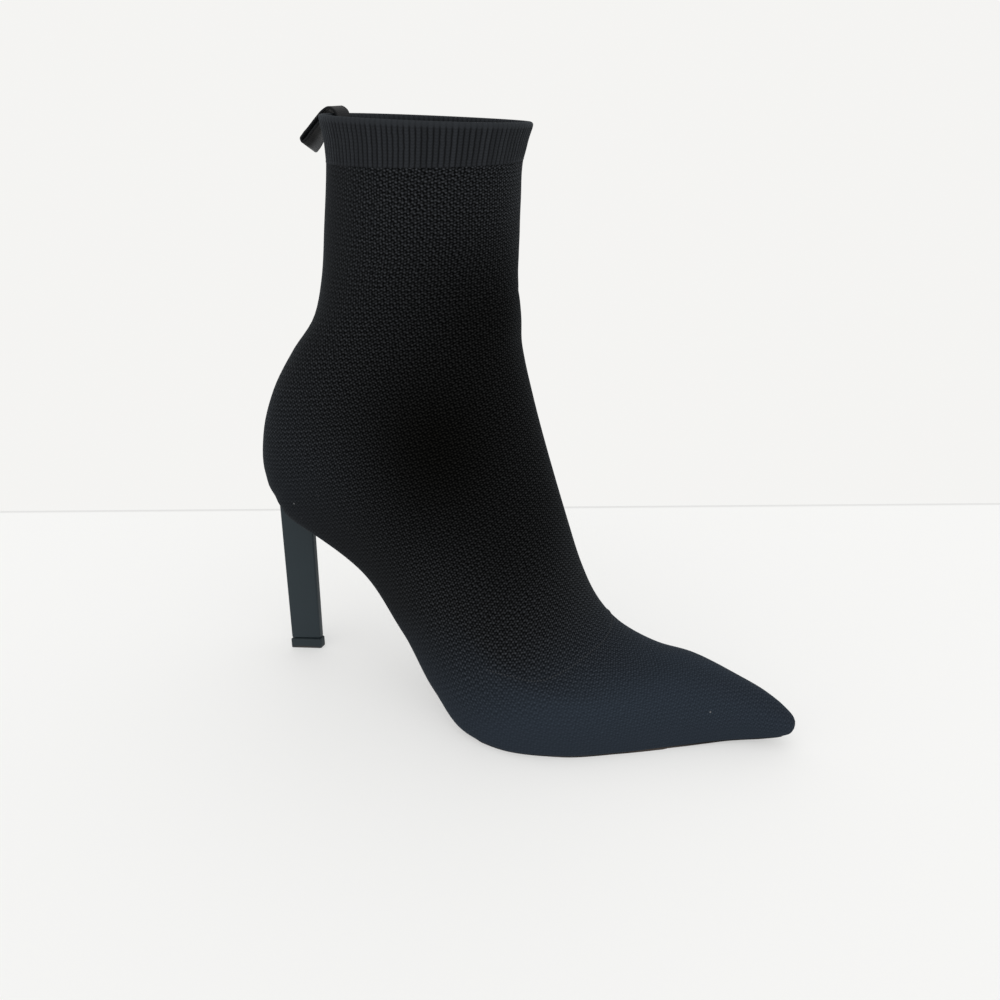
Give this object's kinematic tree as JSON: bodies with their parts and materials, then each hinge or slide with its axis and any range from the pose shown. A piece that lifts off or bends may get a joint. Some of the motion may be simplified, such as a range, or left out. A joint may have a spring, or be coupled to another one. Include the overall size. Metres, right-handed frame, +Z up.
{
  "type": "ankle boot",
  "caption": "Pointed knit sock ankle boot with a ribbed cuff, slim straight heel, thin outsole and a ribbon pull loop at the back; hollow, and stands on heel and tread.",
  "frame": {"origin": "centre of the boot's bounding box in plan, on the floor that heel and tread stand on", "axes": "+X from heel to toe, +Y toward the wearer's left, which is the inner side of this right boot, +Z up"},
  "size_m": [0.2394, 0.0808, 0.2492],
  "materials": {
    "upper": "matt black knit, finely dimpled, with a ribbed cuff",
    "insole": "plain matt black sock lining",
    "outsole": "thin dark sole, low sheen",
    "heel": "satin slate-black cover",
    "top_lift": "matt black heel tip",
    "pull_loop": "satin-edged black ribbon"
  },
  "bodies": {
    "root": {"upper": "upper", "insole": "insole", "outsole": "outsole", "heel": "heel", "top_lift": "top_lift", "pull_loop": "pull_loop"}
  },
  "joints": []
}
